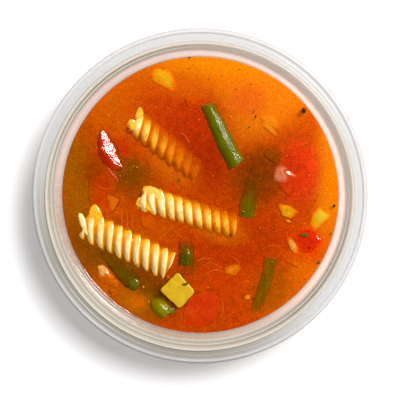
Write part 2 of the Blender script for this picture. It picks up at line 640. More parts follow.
TUB_PROFILE = [
    (0.0, 1.5), (20.0, 1.5), (39.7, 1.5), (41.6, 1.9), (42.7, 3.0), (43.3, 4.6),
    (wall_radius(20), 20.0), (wall_radius(40), 40.0), (wall_radius(58), 58.0),
    (wall_radius(62.8), 62.8),
    (49.0, 64.1), (49.45, 64.7), (50.3, 65.0), (51.0, 65.5), (51.5, 66.2), (51.7, 66.9),
    (51.9, 68.6), (52.0, 70.0), (52.15, 70.35), (52.45, 70.6), (52.55, 71.4), (52.75, 74.8), (52.95, 75.55), (53.2, 75.9),
    (53.45, 76.0), (53.75, 75.85), (53.98, 75.4),
    (54.1, 74.2), (54.2, 73.65), (54.45, 73.42), (55.3, 73.4),
    (55.5, 73.5), (55.62, 73.62), (55.78, 73.62), (55.9, 73.5), (56.1, 73.42),
    (56.75, 73.5), (57.05, 73.9), (57.3, 74.3), (57.7, 74.45), (58.1, 74.3), (58.4, 73.9), (58.55, 73.3),
    (58.6, 69.1), (58.52, 68.8), (58.25, 68.7), (57.98, 68.8), (57.85, 69.2),
    (57.7, 72.0), (57.45, 72.55), (56.9, 72.6), (55.2, 72.4),
    (54.5, 72.2), (53.9, 71.6), (53.7, 70.6),
    (53.05, 69.6), (52.8, 66.9), (52.55, 65.8), (51.6, 64.8), (50.2, 63.9), (49.95, 63.0),
    (wall_radius(58) + WALL, 58.0), (wall_radius(40) + WALL, 40.0), (wall_radius(20) + WALL, 20.0),
    (44.35, 3.6), (44.1, 2.0), (43.5, 1.0), (42.7, 0.3), (42.0, 0.0),
    (41.0, 0.0), (39.0, 0.0), (38.4, 0.05), (38.1, 0.3), (37.8, 0.5), (20.0, 0.5), (0.0, 0.5),
]


def tub():
    profile = smooth_profile(TUB_PROFILE)
    steps = 288
    inner = [(r, z) for r, z in profile if r > 1e-6]
    rings = []
    for r, z in inner:
        rings.append([(r * math.cos(math.tau * j / steps), r * math.sin(math.tau * j / steps), z)
                      for j in range(steps)])
    obj = rings_mesh("tub_shell", rings, plastic_material(), cap=False)
    # close the middle of the floor, inside and below
    mesh = obj.data
    import bmesh
    bm = bmesh.new()
    bm.from_mesh(mesh)
    edges = [e for e in bm.edges if e.is_boundary]
    bmesh.ops.holes_fill(bm, edges=edges)
    bmesh.ops.recalc_face_normals(bm, faces=bm.faces)
    bm.to_mesh(mesh)
    bm.free()
    mesh.shade_smooth()
    return finish_piece(obj, "tub")


# ------------------------------------------------------------------ the broth
def core_height(r):
    """The body of the broth is dished: it meets the surface only at the wall."""
    t = min(1.0, max(0.0, (r - 33.0) / 15.7))
    return LEVEL - CORE_DEPTH * (1 - t ** 1.2) - 0.05


def broth_body():
    steps = 256
    reach = 0.18
    rings = []
    for r in list(np.linspace(0.6, 33.0, 34)) + list(np.linspace(33.5, 48.6, 34)):
        rings.append([(r * math.cos(math.tau * j / steps), r * math.sin(math.tau * j / steps),
                       core_height(r)) for j in range(steps)])
    sides = [(SOUP_R + reach, LEVEL + 0.1), (wall_radius(60) + reach, 60), (wall_radius(50) + reach, 50),
             (wall_radius(35) + reach, 35), (wall_radius(20) + reach, 20), (wall_radius(8) + reach, 8),
             (43.3 + reach, 4.6), (42.6 + reach, 2.9), (41.0, 1.6), (39.6, 1.35), (20.0, 1.35), (0.6, 1.35)]
    for r, z in sides:
        rings.append([(r * math.cos(math.tau * j / steps), r * math.sin(math.tau * j / steps), z)
                      for j in range(steps)])
    rings.reverse()
    obj = rings_mesh("broth_body", rings, broth_material(), cap=True)
    return finish_piece(obj, "broth")


# -------------------------------------------------------------- sweep helpers
def line_frame(start, end):
    """side, up and along of a nearly level line, as the solids use them."""
    a, b = Vector(start), Vector(end)
    along = (b - a).normalized()
    side = Vector((0, 0, 1)).cross(along).normalized()
    up = along.cross(side)
    return a, b, side, up, along


def fusillo(name, start, end, radius, lead, phase, mat, seed=0.0, fat=1.3, core=3.5,
            power=0.44, ragged=(1.0, 1.0), shear=1.5):
    """A three-bladed spiral. phase turns the blades at the start, in radians."""
    a, b, side, up, along = line_frame(start, end)
    length = (b - a).length
    count, steps = 120, int(length * 8)
    rings, rads, sides = [], [], []
    for i in range(steps + 1):
        t = i / steps
        s = length * t
        turn = phase + math.tau * s / lead
        turn += 0.20 * noise.noise(Vector((s * 0.16, seed, 0.0)))
        ring = []
        for j in range(count):
            phi = math.tau * j / count
            blade = int(round(phi / (math.tau / 3))) % 3
            c = math.cos(3 * phi)
            # each blade is a little thicker or thinner along its way
            thick = fat + 0.16 * noise.noise(Vector((s * 0.3, seed + blade * 7.1, 2.0)))
            lobe = max(0.0, (c + thick) / (1 + thick))
            shape = lobe ** power
            reach = radius * (1 + 0.05 * noise.noise(Vector((s * 0.45, seed + blade * 3.3, 5.0))))
            inner = core + 0.15 * c
            r = inner + (reach - inner) * shape
            if shape > 0.6:
                r *= 1 + 0.012 * noise.noise(Vector((s * 1.6, phi * 4, seed)))
            ang = turn + phi
            # the cut ends aren't quite square
            lean = 0.55 * (shape ** 2) * noise.noise(Vector((math.cos(ang) * 0.9, math.sin(ang) * 0.9, seed + 11)))
            lean *= ragged[0] * max(0.0, 1 - s / 3.0) - ragged[1] * max(0.0, 1 - (length - s) / 3.0)
            over = shear * ((r - inner) / (radius - inner)) * min(1.0, (length - s) / 2.5 + 0.2)
            ring.append(a + along * (s - 1.6 * lean + over) + side * (r * math.cos(ang)) + up * (r * math.sin(ang)))
            rads.append(min(1.0, r / radius))
            sides.append(r * math.cos(ang) / radius)
        rings.append(ring)
    # the corners of the two ends are soft
    for at, back, pull in ((0, 1, 0.09), (1, 2, 0.035), (2, 3, 0.01), (-1, -2, 0.09), (-2, -3, 0.035), (-3, -4, 0.01)):
        centre = sum(rings[at], Vector()) / count
        rings[at] = [p + (centre - p) * pull for p in rings[at]]
    obj = rings_mesh(name, [[tuple(p) for p in ring] for ring in rings], mat)
    rads += [0.35, 0.35]
    put_floats(obj, "rad", rads)
    put_floats(obj, "side", sides + [0.0, 0.0])
    return obj


def smooth_chain(points, per=8):
    """A smooth curve through a few points."""
    pts = [Vector(p) for p in points]
    if len(pts) == 2:
        return [pts[0].lerp(pts[1], i / (per * 2)) for i in range(per * 2 + 1)]
    ext = [pts[0] * 2 - pts[1]] + pts + [pts[-1] * 2 - pts[-2]]
    out = []
    for i in range(1, len(ext) - 2):
        p0, p1, p2, p3 = ext[i - 1:i + 3]
        for k in range(per):
            t = k / per
            out.append(0.5 * ((2 * p1) + (p2 - p0) * t + (2 * p0 - 5 * p1 + 4 * p2 - p3) * t * t
                              + (3 * p1 - p0 - 3 * p2 + p3) * t ** 3))
    out.append(pts[-1])
    return out


def bean(name, path, width, mat, seed=0.0, squash=0.9, taper=(1.0, 1.0), slant=(0.0, 0.0),
         hollow=0.25, lumps=0.06):
    """A piece of green bean: a soft tube with a seam, a little swollen over its
    seeds, and cut across at both ends."""
    line = smooth_chain(path, 10)
    count = 48
    total = sum((line[i + 1] - line[i]).length for i in range(len(line) - 1))
    rings, along_at, around_at, cut = [], [], [], []
    s = 0.0
    n = len(line)
    frames = []
    for i, p in enumerate(line):
        t = (line[min(i + 1, n - 1)] - line[max(i - 1, 0)]).normalized()
        side = Vector((0, 0, 1)).cross(t)
        side = side.normalized() if side.length > 1e-4 else Vector((1, 0, 0))
        frames.append((p, side, t.cross(side), t))
    lengths = [0.0]
    for i in range(1, n):
        lengths.append(lengths[-1] + (line[i] - line[i - 1]).length)

    def ring_at(i, scale, push):
        p, side, up, t = frames[i]
        s = lengths[i]
        f = s / total
        r = width / 2 * (taper[0] * (1 - f) + taper[1] * f)
        r *= 1 + lumps * math.sin(s * 0.85 + seed) + 0.03 * noise.noise(Vector((s * 0.5, seed, 0)))
        ring = []
        for j in range(count):
            a = math.tau * j / count
            seam = 1 - 0.07 * math.exp(-((a - 1.15) / 0.16) ** 2) - 0.05 * math.exp(-((a - 4.3) / 0.2) ** 2)
            rr = r * seam * (1 + 0.015 * noise.noise(Vector((s * 1.1, a * 3, seed)))) * scale
            q = p + side * (rr * math.cos(a)) + up * (rr * squash * math.sin(a))
            sl = slant[0] * (1 - f) + slant[1] * f if (i in (0, n - 1)) else (
                slant[0] * max(0, 1 - s / 2.0) + slant[1] * max(0, 1 - (total - s) / 2.0))
            q += t * (push + sl * math.cos(a) * rr / r)
            ring.append(tuple(q))
            along_at.append(s)
            around_at.append(a * r)
            cut.append(0.0)
        return ring

    for scale, push, flag in ((0.30, hollow, 1), (0.62, hollow * 0.7, 1), (0.84, 0.02, 1), (0.95, 0.0, 0.6)):
        rings.append(ring_at(0, scale, push))
        cut[-count:] = [flag] * count
    for i in range(n):
        if i == 0:
            rings.append(ring_at(0, 1.0, 0.16))
            continue
        if i == n - 1:
            rings.append(ring_at(n - 1, 1.0, -0.16))
            continue
        rings.append(ring_at(i, 1.0, 0.0))
    for scale, push, flag in ((0.95, 0.0, 0.6), (0.84, -0.02, 1), (0.62, -hollow * 0.7, 1), (0.30, -hollow, 1)):
        rings.append(ring_at(n - 1, scale, push))
        cut[-count:] = [flag] * count
    obj = rings_mesh(name, rings, mat)
    # the two middle points of the caps
    put_floats(obj, "along", along_at + [0.0, total])
    put_floats(obj, "around", around_at + [0.0, 0.0])
    put_floats(obj, "cut", cut + [1.0, 1.0])
    return obj


def rounded(points, rounds=3, ratio=0.25):
    """Cuts the corners of a closed outline, again and again."""
    pts = [Vector(p).to_2d() for p in points]
    for _ in range(rounds):
        out = []
        for i, p in enumerate(pts):
            q = pts[(i + 1) % len(pts)]
            out.append(p.lerp(q, ratio))
            out.append(p.lerp(q, 1 - ratio))
        pts = out
    return pts


def spaced(points, count):
    """The same closed outline with evenly spaced points."""
    n = len(points)
    d = [0.0]
    for i in range(n):
        d.append(d[-1] + (points[(i + 1) % n] - points[i]).length)
    out, k = [], 0
    for j in range(count):
        at = d[-1] * j / count
        while d[k + 1] < at:
            k += 1
        f = (at - d[k]) / max(d[k + 1] - d[k], 1e-9)
        out.append(points[k].lerp(points[(k + 1) % n], f))
    return out


def slab(name, outline, top, thick, mat, edge=0.5, crown=0.3, tilt=(0.0, 0.0), sharp=0.16,
         rough=0.08, seed=0.0, flare=0.0, count=84, rounds=3, dome=2.0, centre=None, wide=None):
    """A cut piece: its outline in the photograph's frame, its top in mm against the
    broth's level, its thickness, and how it tilts (mm per mm to the right and away)."""
    pts = [Vector(px(x, y)[:2]) for x, y in outline]
    area = sum(pts[i].x * pts[(i + 1) % len(pts)].y - pts[(i + 1) % len(pts)].x * pts[i].y
               for i in range(len(pts)))
    if area < 0:
        pts.reverse()
    pts = spaced(rounded(pts, rounds, sharp), count)
    c = sum(pts, Vector((0, 0))) / count
    if centre:
        c = Vector(px(*centre)[:2])
    mean = sum((p - c).length for p in pts) / count
    wide = min(wide or edge, mean * 0.6)
    rings = []
    rows = []
    steps = 7
    bottom = -thick
    for s in (0.04, 0.35, 0.7, 0.9):
        rows.append((s * (1 + flare), bottom))
    for k in range(1, steps + 1):
        a = math.pi / 2 * k / steps
        rows.append((1 + flare - min(edge, mean * 0.6) / mean * (1 - math.sin(a)), bottom + edge * (1 - math.cos(a))))
    for k in range(1, 5):
        f = k / 5
        rows.append((1 + flare * (1 - f), bottom + edge + (thick - 2 * edge) * f))
    for k in range(1, steps + 1):
        a = math.pi / 2 * k / steps
        rows.append((1 - wide / mean * (1 - math.cos(a)), -edge + edge * math.sin(a)))
    for s in (0.88, 0.78, 0.66, 0.54, 0.42, 0.30, 0.18, 0.06):
        if s < 1 - wide / mean:
            rows.append((s, 0.0))
    rim = []
    for s, z in rows:
        ring = []
        for p in pts:
            rim.append(1.0 if z < -edge * 0.98 else s)
            q = c + (p - c) * s
            lift = crown * (1 - min(1.0, s) ** dome) if z > bottom + edge else -crown * 0.2 * (1 - min(1, s) ** dome)
            h = LEVEL + top + z + lift + tilt[0] * (q.x - c.x) + tilt[1] * (q.y - c.y)
            v = Vector((q.x, q.y, h))
            w = Vector((noise.noise(v * 0.45 + Vector((seed, 0, 0))), noise.noise(v * 0.45 + Vector((0, seed, 7))),
                        noise.noise(v * 0.45 + Vector((5, seed, 3)))))
            f = Vector((noise.noise(v * 1.5 + Vector((seed, 1, 0))), noise.noise(v * 1.5 + Vector((2, seed, 7))),
                        noise.noise(v * 1.5 + Vector((5, seed, 9)))))
            v += w * (rough * 3) + f * rough
            ring.append(tuple(v))
        rings.append(ring)
    obj = rings_mesh(name, rings, mat)
    put_floats(obj, "rim", rim + [1.0, 0.0])
    return obj


def join_flecks(name, flecks, mat):
    """Many tiny flattened grains as one mesh. Each is (x, y, z, a, b, height, turn, jag, seed)."""
    verts, faces = [], []
    for x, y, z, a, b, h, turn, jag, seed in flecks:
        m = 9
        base = len(verts)
        ct, st = math.cos(turn), math.sin(turn)
        for level, s in ((-0.9, 0.55), (-0.25, 1.0), (0.45, 0.82), (0.85, 0.42)):
            for j in range(m):
                t = math.tau * j / m
                w = 1 + jag * noise.noise(Vector((math.cos(t) * 1.3, math.sin(t) * 1.3, seed)))
                u, v = a * s * w * math.cos(t), b * s * w * math.sin(t)
                verts.append((x + u * ct - v * st, y + u * st + v * ct, z + h * level))
        verts.append((x, y, z - h))
        verts.append((x, y, z + h))
        for k in range(3):
            for j in range(m):
                i2 = (j + 1) % m
                faces.append((base + k * m + j, base + k * m + i2, base + (k + 1) * m + i2, base + (k + 1) * m + j))
        for j in range(m):
            i2 = (j + 1) % m
            faces.append((base + i2, base + j, base + 4 * m))
            faces.append((base + 3 * m + j, base + 3 * m + i2, base + 4 * m + 1))
    return mesh_object(name, verts, faces, mat)


# ============================================================== build it all
tub_piece = tub()
tub_piece.visible_glossy = False
body_piece = broth_body()
above = []              # what the surface is drawn up against

# ---- pasta
pasta = pasta_material("pasta_fine", 2.1, 0.0)
sunk_pasta = pasta_material("pasta_sunk", 1.75, 1.0, near=0.30)
PASTA = [
    # name, start, end, radius, lead, phase
    ("fusilli_1", (-42.1, -9.8, 60.1), (-10.9, -25.1, 59.9), 5.75, 10.8, -2.2),
    ("fusilli_2", (-22.3, -0.2, 61.4), (12.3, -11.5, 57.2), 5.0, 10.4, 1.1),
    ("fusilli_3", (-24.4, 26.9, 59.5), (-1.2, 7.9, 54.8), 5.0, 11.4, 0.6),
]
for i, (name, start, end, radius, lead, phase) in enumerate(PASTA):
    piece = fusillo(name + "_fine", start, end, radius, lead, phase, sunk_pasta if i == 2 else pasta, seed=3.7 * i)
    finish_piece(sunk(piece), name)
    above.append(piece)

# ragged ends: a bent tip, a flap and a knob
PASTA_TIPS = [
    ("fusilli_1_tip", [(77.4, 214.4), (81.4, 213.4), (86.4, 222), (90.6, 236.6), (86, 236), (80.4, 226)], 1.0, 2.4,
     {"crown": 0.7, "tilt": (-0.10, -0.04), "centre": (83.4, 222)}),
    ("fusilli_1_flap", [(87.6, 213), (91, 205.4), (96.4, 204.6), (102, 213), (101.4, 226), (95, 231), (89.6, 223)], 0.7, 2.6,
     {"crown": 0.7, "tilt": (0.0, 0.02), "centre": (95, 216)}),
    ("fusilli_2_flap", [(134.6, 204), (138.4, 197), (147, 196), (156.4, 203.4), (151.6, 212.4), (142, 209)], 1.0, 2.6,
     {"crown": 0.6, "tilt": (-0.04, -0.04), "centre": (143, 203)}),
    ("fusilli_2_lip", [(141, 190), (147, 185.4), (158, 189), (161, 199), (153, 201), (146, 198.6)], 0.9, 2.4,
     {"crown": 0.8, "tilt": (0.05, -0.06), "centre": (151, 193)}),
    ("fusilli_3_knob", [(127, 123.6), (130.6, 119.0), (136.0, 119.6), (138, 127), (134, 132), (128.4, 129)], 0.15, 2.6,
     {"crown": 0.8, "tilt": (-0.06, -0.05), "centre": (131, 124.6)}),
    ("fusilli_3_flap", [(134, 117), (137, 109), (140.6, 106.6), (143.6, 112), (141.6, 122), (137, 125)], -0.15, 2.6,
     {"crown": 0.5, "tilt": (0.0, 0.0), "centre": (139, 116)}),
]
for k, (name, outline, top, thick, extra) in enumerate(PASTA_TIPS):
    piece = slab(name, outline, top, thick, pasta, edge=0.9, sharp=0.22, rounds=3, seed=40.0 + k, rough=0.10,
                 dome=1.4, **extra)
    put_floats(piece, "rad", [(0.96, 0.83, 0.84, 0.90, 0.89, 0.90)[k]] * len(piece.data.vertices))
    put_floats(piece, "side", [(0.0, 0.85, 0.92, 0.66, 0.80, 0.85)[k]] * len(piece.data.vertices))
    finish_piece(sunk(piece))
    above.append(piece)

# ---- green beans
bean_mat = veg_material("bean_fine", (128, 124, 6), (88, 96, 2), clarity=2.2, scale=1.0,
                        bump=0.00006, rough=0.07, film=0.10, shine=0.42, crumple=0.00019, creases=2.0, fibre=(0.16, 1.5),
                        face=((150, 160, 96), (196, 204, 160)), sss=0.2,
                        absorb=(0.10, 0.26, 1.2))
light_bean = veg_material("bean_light", (168, 154, 14), (126, 124, 6), clarity=2.4, scale=1.0,
                          bump=0.00006, rough=0.08, film=0.10, shine=0.40, crumple=0.00012, creases=2.0, fibre=(0.16, 1.5),
                          face=((160, 150, 56), (176, 166, 84)), absorb=(0.04, 0.20, 1.0))
dark_bean = veg_material("bean_dark", (92, 104, 4), (56, 70, 2), clarity=2.2, scale=1.0,
                         bump=0.00006, rough=0.08, film=0.10, shine=0.42, crumple=0.00015, creases=2.0, fibre=(0.16, 1.5),
                         face=((130, 134, 60), (150, 152, 84)), absorb=(0.04, 0.20, 1.0))
sunk_bean_mat = veg_material("sunk_bean", (114, 112, 4), (76, 82, 2), clarity=2.4, scale=1.0, lit=0.7,
                             bump=0.00005, rough=0.3, fibre=(0.16, 1.5),
                             face=((160, 150, 50), (184, 170, 80)), absorb=(0.06, 0.24, 1.2))
beans = [
    bean("green_bean_1_fine", [(2.7, 32.0, 61.0), (5.6, 25.6, 61.6), (9.0, 18.2, 61.7), (13.0, 10.9, 61.0)],
         6.2, bean_mat, seed=1.0, taper=(0.86, 1.12), slant=(0.4, -0.5), lumps=0.02),
    bean("green_bean_2_fine", [(-37.0, -20.4, 57.8), (-32.4, -22.6, 58.8), (-27.8, -27.6, 59.8), (-23.6, -31.6, 60.3)],
         6.2, dark_bean, seed=2.0, taper=(0.8, 1.04), slant=(0.0, 0.5), lumps=0.02),
    bean("green_bean_3_fine", [(-17.4, -36.6, 57.8), (-14.6, -39.4, 60.6), (-11.4, -42.6, 61.5)],
         6.4, light_bean, seed=3.0, slant=(0.0, 0.3)),
    bean("green_bean_4_fine", [(-5.2, -17.4, 59.4), (-4.9, -21.0, 60.8), (-5.2, -25.2, 61.0)],
         5.8, dark_bean, seed=4.0, taper=(0.94, 0.96), lumps=0.02),
]
for k, piece in enumerate(beans):
    finish_piece(sunk(piece), "green_bean_%d" % (k + 1))
    above.append(piece)
sunk_beans = [
    bean("sunk_bean_right", [px(262, 158, 56.4), px(256, 178, 58.4), px(249, 200, 61.3), px(246.6, 218.0, 62.1)],
         6.2, sunk_bean_mat, seed=5.0, taper=(0.8, 1.0), squash=0.5),
    bean("sunk_bean_low", [px(271.4, 258.5, 61.5), px(266.5, 280, 61.7), px(260, 300, 61.6), px(254.6, 315, 61.3)],
         4.6, sunk_bean_mat, seed=6.0, taper=(1.0, 0.86), squash=0.5),
    bean("sunk_bean_upper", [px(268, 150, 59.2), px(276, 157, 60.0), px(286, 163, 59.2)], 5.2, sunk_bean_mat, seed=7.0,
         squash=0.5),
    bean("sunk_bean_left", [px(136, 168, 55.4), px(134, 184, 56.4), px(140, 198, 55.6)], 6.0, sunk_bean_mat, seed=8.0,
         squash=0.5),
]
for piece in sunk_beans:
    finish_piece(sunk(piece))

# ---- courgette, tomato, pepper and carrot
zucchini = veg_material("courgette_fine", (240, 198, 46), (228, 176, 22), clarity=3.0, scale=0.45, contrast=(0.2, 0.8),
                        bump=0.00004, rough=0.26, film=0.22, reach=1.4, absorb=(0.03, 0.20, 0.9))
courgette = slab("courgette_1_fine", [(177.6, 272.6), (159.4, 290.6), (179.2, 309.4), (195.0, 292.6)], 1.05, 8.0,
                 zucchini, edge=0.40, crown=0.12, tilt=(0.02, -0.03), sharp=0.07, seed=1.0)
finish_piece(sunk(courgette, shade=True), "courgette_1")
above.append(courgette)

tomato_mat = veg_material("tomato_fine", (232, 62, 10), (206, 34, 6), clarity=2.6, scale=0.4,
                          blur=(0.86, 1.0), bump=0.00004, rough=0.05, film=0.10, sss=0.0, absorb=(0.05, 0.25, 1.6), shine=0.9,
                          crumple=0.00017, creases=1.9, coat=0.38)
soft_tomato = veg_material("tomato_soft", (232, 70, 24), (206, 38, 14), clarity=1.9, scale=0.5, lit=0.38,
                           blur=(0.25, 1.0), bump=0.00018, rough=0.12, film=0.10, absorb=(0.03, 0.16, 0.9), shine=0.7)
tomato_1 = slab("tomato_1_fine", [(102.4, 126.6), (98.0, 136), (96.8, 146), (98.4, 156), (103.6, 165.6), (112.8, 171.4),
                                  (123.4, 170.4), (118.6, 158.6), (116.0, 147.6), (110.4, 138), (105.2, 131)],
                -0.6, 5.0, tomato_mat, edge=0.9, crown=2.4, tilt=(0.0, 0.0), sharp=0.25, rounds=2, seed=2.0, dome=1.0, rough=0.12,
                centre=(102.0, 149))
finish_piece(sunk(tomato_1), "tomato_1")
above.append(tomato_1)
finish_piece(sunk(slab("tomato_1_sheen", [(101, 127.4), (105.4, 132), (111, 141), (115.4, 150), (119.4, 160), (124, 169.6), (119, 168),
                                          (111.4, 162), (106, 153), (102, 143), (100, 134)],
                       0.75, 1.8, tomato_mat, edge=0.3, wide=0.5, crown=0.12, tilt=(-0.39, -0.28), sharp=0.2, rounds=2,
                       seed=19.0, rough=0.08, flare=-0.2)))
tomato_2 = slab("tomato_2_fine", [(275.6, 184), (276, 168), (283, 150), (298, 140), (312, 146), (317, 164), (315, 184), (304, 198), (288, 198)],
                -1.3, 6.0, soft_tomato, edge=0.6, wide=4.0, crown=0.9, tilt=(-0.02, 0.0), sharp=0.25, rounds=3, seed=3.0,
                centre=(290, 172), dome=1.4, rough=0.10, flare=-0.3)
finish_piece(sunk(tomato_2), "tomato_2")
pale_tomato = veg_material("tomato_pale", (248, 168, 130), (236, 110, 66), clarity=1.3, scale=1.6, contrast=(0.3, 0.7),
                           blur=(0.3, 1.0), bump=0.00010, rough=0.14, film=0.02, absorb=(0.02, 0.14, 0.5), shine=0.8,
                           crumple=0.00004)
finish_piece(sunk(slab("tomato_2_facet", [(274.5, 165), (283, 164.5), (290, 167), (289, 183), (280, 184.5), (272, 182)], -0.50, 1.4,
                       pale_tomato, edge=0.3, wide=1.2, crown=0.30, tilt=(-0.02, -0.02), sharp=0.12, rounds=3,
                       seed=13.0, rough=0.10, flare=-0.2)))
finish_piece(sunk(slab("tomato_2_crest", [(283.5, 168.6), (290, 171), (297.5, 175.6), (296, 178), (288.5, 175.4), (283, 172.4)], 0.10, 1.0,
                       pale_tomato, edge=0.3, wide=0.4, crown=0.10, tilt=(-0.34, -0.33), sharp=0.2, rounds=2,
                       seed=14.0, rough=0.07, flare=-0.2)))
above.append(tomato_2)
red_chunk = veg_material("tomato_chunk", (246, 52, 14), (226, 36, 8), clarity=2.4, scale=0.5,
                         blur=(0.7, 1.0), bump=0.00012, rough=0.10, film=0.10, sss=0.0, absorb=(0.03, 0.18, 1.2), shine=0.6)
tomato_3 = slab("tomato_3_fine", [(300, 227), (311, 227.4), (318, 232.6), (324.4, 241), (318.5, 249), (311, 257), (300, 252), (294.6, 240)],
                -0.45, 5.4, red_chunk, edge=0.4, wide=1.4, crown=0.4, tilt=(0.05, 0.02), sharp=0.14, rounds=3, seed=4.0, rough=0.14,
                flare=-0.15)
finish_piece(sunk(tomato_3), "tomato_3")
finish_piece(sunk(slab("tomato_3_crest", [(315, 234.4), (318, 234), (323.4, 240.2), (320.6, 243), (317, 240)], 0.35, 1.6,
                       red_chunk, edge=0.3, wide=0.5, crown=0.12, tilt=(-0.34, -0.33), sharp=0.2, rounds=2,
                       seed=18.0, rough=0.08, flare=-0.2)))
above.append(tomato_3)

pepper_mat = veg_material("pepper_fine", (236, 80, 6), (222, 50, 4), clarity=2.8, scale=0.2, blur=(0.82, 1.0),
                          bump=0.00004, rough=0.22, absorb=(0.04, 0.22, 1.2))
pepper = slab("pepper_1_fine", [(192.4, 296), (202.4, 292.2), (214.5, 290.6), (219.2, 300), (217.2, 322.4), (200, 327.4), (183.0, 327), (182.6, 310)],
              -0.12, 3.6, pepper_mat, edge=0.3, wide=1.0, crown=0.25, tilt=(0.02, 0.01), sharp=0.14, seed=5.0)
finish_piece(sunk(pepper), "pepper_1")
above.append(pepper)

carrot_mat = veg_material("carrot_fine", (240, 122, 14), (226, 98, 4), clarity=2.8, scale=0.6,
                          bump=0.00006, rough=0.16, absorb=(0.03, 0.20, 1.0), blur=(0.70, 1.0))
carrot_1 = slab("carrot_1_fine", [(100, 264), (109, 271.5), (119.6, 283.6), (119.0, 289.6), (110.8, 288), (96.4, 281.0), (95.0, 271.4)],
                -0.35, 5.4, carrot_mat, edge=0.5, wide=1.6, crown=0.8, tilt=(-0.05, 0.06), sharp=0.2, rounds=3, seed=6.0, centre=(106.6, 276), dome=1.3,
                flare=-0.1)
finish_piece(sunk(carrot_1), "carrot_1")
pale_carrot = veg_material("carrot_pale", (255, 190, 104), (246, 150, 56), clarity=1.8, scale=0.9, blur=(0.7, 1.0),
                           bump=0.00006, rough=0.12, film=0.02, absorb=(0.02, 0.16, 0.7), shine=0.5)
finish_piece(sunk(slab("carrot_1_facet", [(95.5, 266), (103, 264.4), (111, 272), (108, 278.6), (99, 277)], 0.20, 2.0,
                       pale_carrot, edge=0.3, wide=1.4, crown=0.3, tilt=(-0.06, -0.02), sharp=0.16, rounds=3,
                       seed=15.0, flare=-0.1)))
dark_face = veg_material("bean_face_dark", (116, 106, 18), (80, 82, 6), clarity=1.9, scale=1.4,
                         bump=0.00006, rough=0.09, film=0.06, absorb=(0.04, 0.18, 0.8), shine=0.35, crumple=0.00010,
                         creases=2.0)
bean_face = veg_material("bean_face", (148, 136, 34), (104, 104, 12), clarity=1.9, scale=1.4,
                         bump=0.00006, rough=0.09, film=0.06, absorb=(0.04, 0.18, 0.8), shine=0.35, crumple=0.00004)
finish_piece(sunk(slab("green_bean_2_face", [(126, 283), (131, 278.6), (137.6, 280.4), (140, 286), (136, 291.6), (128.4, 290.6)],
                       -0.15, 2.6, dark_face, edge=0.6, wide=2.4, crown=0.45, tilt=(0.03, 0.03), sharp=0.22, rounds=3,
                       seed=16.0, flare=-0.1)))
finish_piece(sunk(slab("green_bean_3_face", [(161, 309), (167.4, 306.4), (175, 309), (175, 313.6), (168, 317.0), (162.6, 315)],
                       -0.05, 2.4, bean_face, edge=0.6, wide=2.0, crown=0.35, tilt=(0.02, 0.02), sharp=0.22, rounds=3,
                       seed=17.0, flare=-0.1)))
GLINTS = [
    ("green_bean_2_glint", [(133.6, 279), (136.6, 279.6), (138.4, 283), (136.4, 283.6)], 0.28, bean_face, "green_bean"),
    ("green_bean_3_glint", [(160, 307.6), (166, 309), (174, 311.4), (170, 313), (162, 310)], 0.26, bean_face, "green_bean"),
    ("green_bean_4_glint", [(186, 249), (188, 248.6), (190.4, 255), (188.6, 256)], 0.22, bean_face, "green_bean"),
    ("carrot_1_glint", [(101.6, 268.4), (106, 270), (110.4, 275.4), (108, 275.8), (103.6, 272)], 0.42, bean_face, "carrot"),
]
for k, (name, outline, top, mat, slot) in enumerate(GLINTS):
    finish_piece(sunk(slab(name, outline, top, 1.0, pale_carrot if slot == "carrot" else mat, edge=0.2, wide=0.3,
                           crown=0.05, tilt=(-0.34, -0.33), sharp=0.2, rounds=2, seed=50.0 + k, rough=0.06,
                           flare=-0.2, count=48)))
above.append(carrot_1)
carrot_2 = slab("carrot_2_fine", [(105.6, 193.6), (113, 195.4), (120.4, 199.2), (116.0, 207.6), (112.0, 214.0), (108.4, 204)],
                -0.05, 4.6, carrot_mat, edge=0.4, crown=0.1, tilt=(-0.06, 0.05), sharp=0.12, seed=7.0)
finish_piece(sunk(carrot_2), "carrot_2")
above.append(carrot_2)

